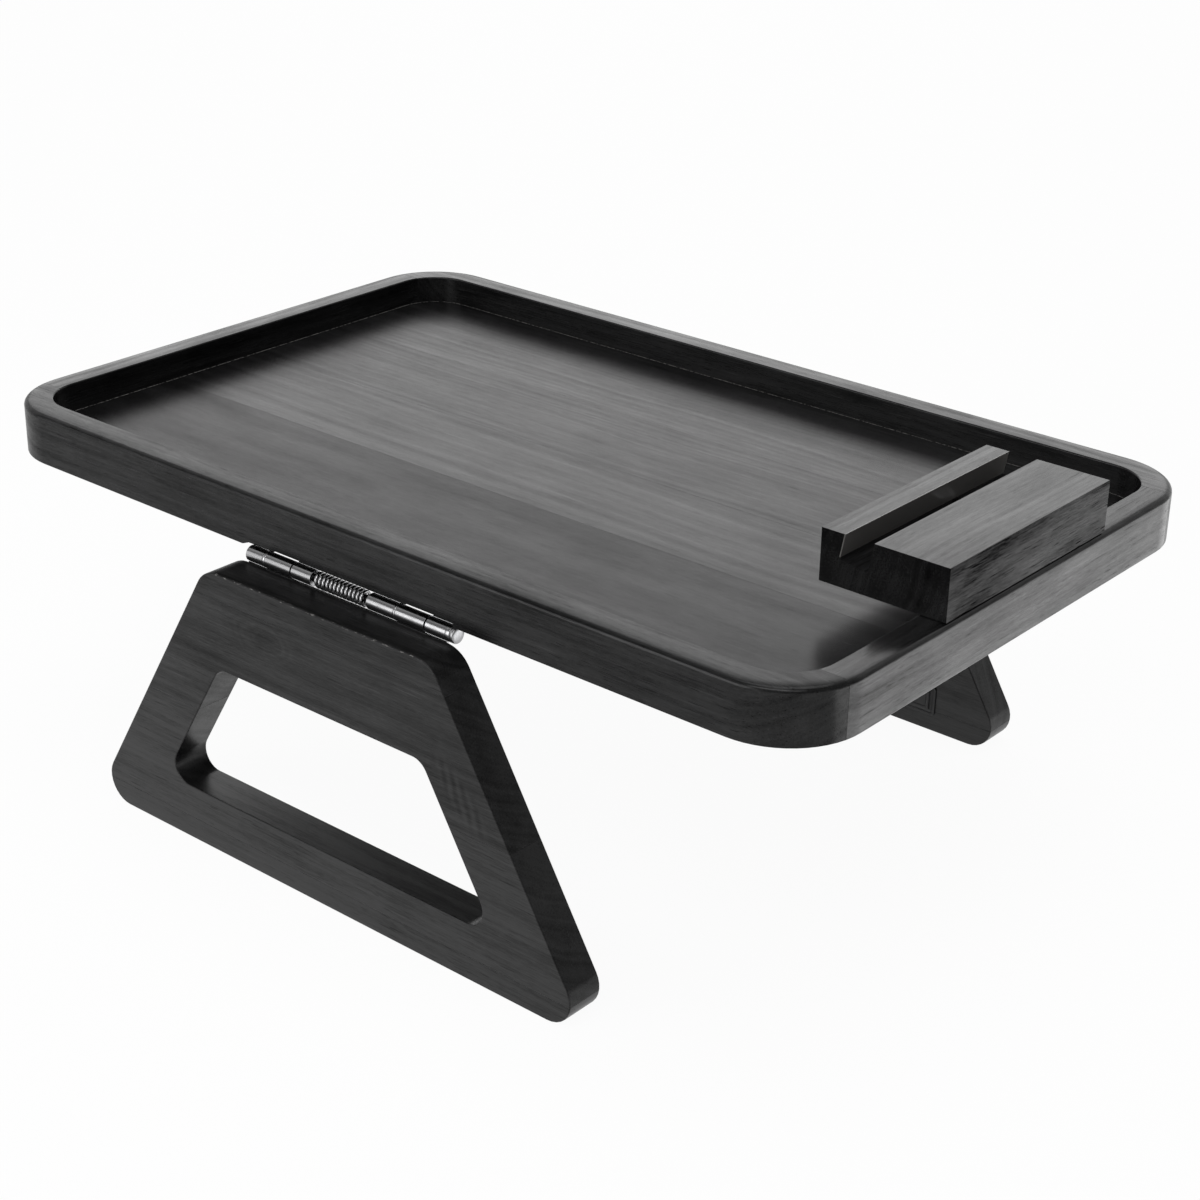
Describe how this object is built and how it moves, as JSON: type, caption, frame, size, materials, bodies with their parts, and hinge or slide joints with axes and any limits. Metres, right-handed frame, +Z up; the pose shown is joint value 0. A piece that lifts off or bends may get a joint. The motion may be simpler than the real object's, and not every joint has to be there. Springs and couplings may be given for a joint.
{
  "type": "sofa arm tray",
  "caption": "Rimmed wooden tray that sits on a sofa's arm, held by sprung folding legs, with a swivelling block whose slot holds a phone.",
  "frame": {"origin": "on the ground that the feet stand on, under the middle of the tray", "axes": "+X along the tray's length, towards the end with the phone holder; +Y across the tray, away from the near leg; +Z up"},
  "size_m": [0.38, 0.27, 0.1578],
  "materials": {
    "stained_wood": "satin black stain",
    "pale_wood": "bare",
    "steel": "zinc plated",
    "spring_steel": "plain",
    "silicone": "matt",
    "brass": "plain"
  },
  "bodies": {
    "tray": {"long_rail_near": "stained_wood", "long_rail_far": "stained_wood", "short_rail_left": "stained_wood", "short_rail_right": "stained_wood", "floor_board_1": "stained_wood", "floor_board_2": "stained_wood", "floor_board_3": "stained_wood", "floor_board_4": "stained_wood", "corner_dowels": "pale_wood", "near_hinge_tray_leaf": "steel", "near_hinge_pin": "steel", "near_hinge_spring": "spring_steel", "near_hinge_washers": "steel", "near_tray_leaf_screws": "steel", "far_hinge_tray_leaf": "steel", "far_hinge_pin": "steel", "far_hinge_spring": "spring_steel", "far_hinge_washers": "steel", "far_tray_leaf_screws": "steel", "swivel_screw": "steel", "swivel_washer": "steel", "swivel_post": "stained_wood", "threaded_insert": "brass"},
    "near_leg": {"near_leg_top_stave": "stained_wood", "near_leg_upper_stave": "stained_wood", "near_leg_lower_stave": "stained_wood", "near_leg_foot_stave": "stained_wood", "near_grip_pad": "silicone", "near_hinge_leg_leaf": "steel", "near_leg_leaf_screws": "steel"},
    "far_leg": {"far_leg_top_stave": "stained_wood", "far_leg_upper_stave": "stained_wood", "far_leg_lower_stave": "stained_wood", "far_leg_foot_stave": "stained_wood", "far_grip_pad": "silicone", "far_hinge_leg_leaf": "steel", "far_leg_leaf_screws": "steel"},
    "phone_holder": {"phone_holder_block": "stained_wood"}
  },
  "joints": [
    {"name": "near_leg_hinge", "type": "hinge", "parent": "tray", "child": "near_leg", "pos_m": [0, -0.1182, 0.1159], "axis": [1, 0, 0], "range_deg": [-90, 90], "stiffness_Nm_per_rad": 0.08, "deforming": ["near_hinge_spring"]},
    {"name": "far_leg_hinge", "type": "hinge", "parent": "tray", "child": "far_leg", "pos_m": [0, 0.1182, 0.1159], "axis": [-1, 0, 0], "range_deg": [-90, 90], "stiffness_Nm_per_rad": 0.08, "deforming": ["far_hinge_spring"]},
    {"name": "phone_holder_swivel", "type": "hinge", "parent": "tray", "child": "phone_holder", "pos_m": [0.15418, 0.0205, 0.1393], "axis": [0, 0, 1], "continuous": true}
  ]
}
